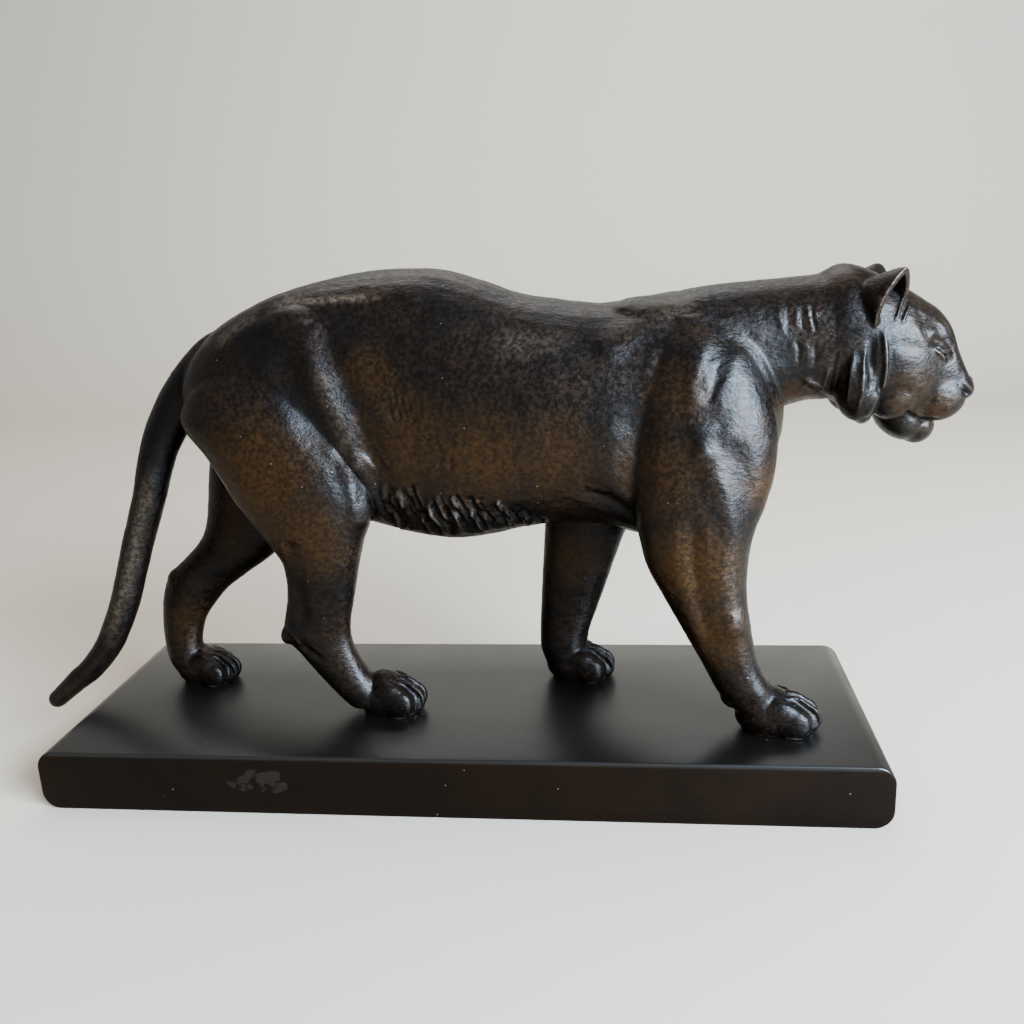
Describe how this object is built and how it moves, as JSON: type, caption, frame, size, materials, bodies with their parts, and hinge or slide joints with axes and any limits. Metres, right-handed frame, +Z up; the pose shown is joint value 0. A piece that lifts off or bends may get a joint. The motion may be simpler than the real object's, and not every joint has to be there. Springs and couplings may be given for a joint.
{
  "type": "animal figurine",
  "caption": "Patinated bronze lioness walking on a flat rectangular plinth with rounded short ends, a tabletop sculpture.",
  "frame": {"origin": "centre of the plinth's underside", "axes": "+X along the plinth towards the lioness's head, +Y to her left side, +Z up"},
  "size_m": [0.3119, 0.09, 0.1667],
  "materials": {
    "patinated_bronze": "dark brown-black patina, rubbed to a warmer brown on ridges",
    "black_plinth": "matt black, lightly worn on its edges",
    "screw_steel": "plain"
  },
  "bodies": {
    "root": {"lioness": "patinated_bronze", "plinth": "black_plinth", "paw_screw_fore_right": "screw_steel", "paw_screw_fore_left": "screw_steel", "paw_screw_hind_right": "screw_steel", "paw_screw_hind_left": "screw_steel"}
  },
  "joints": []
}
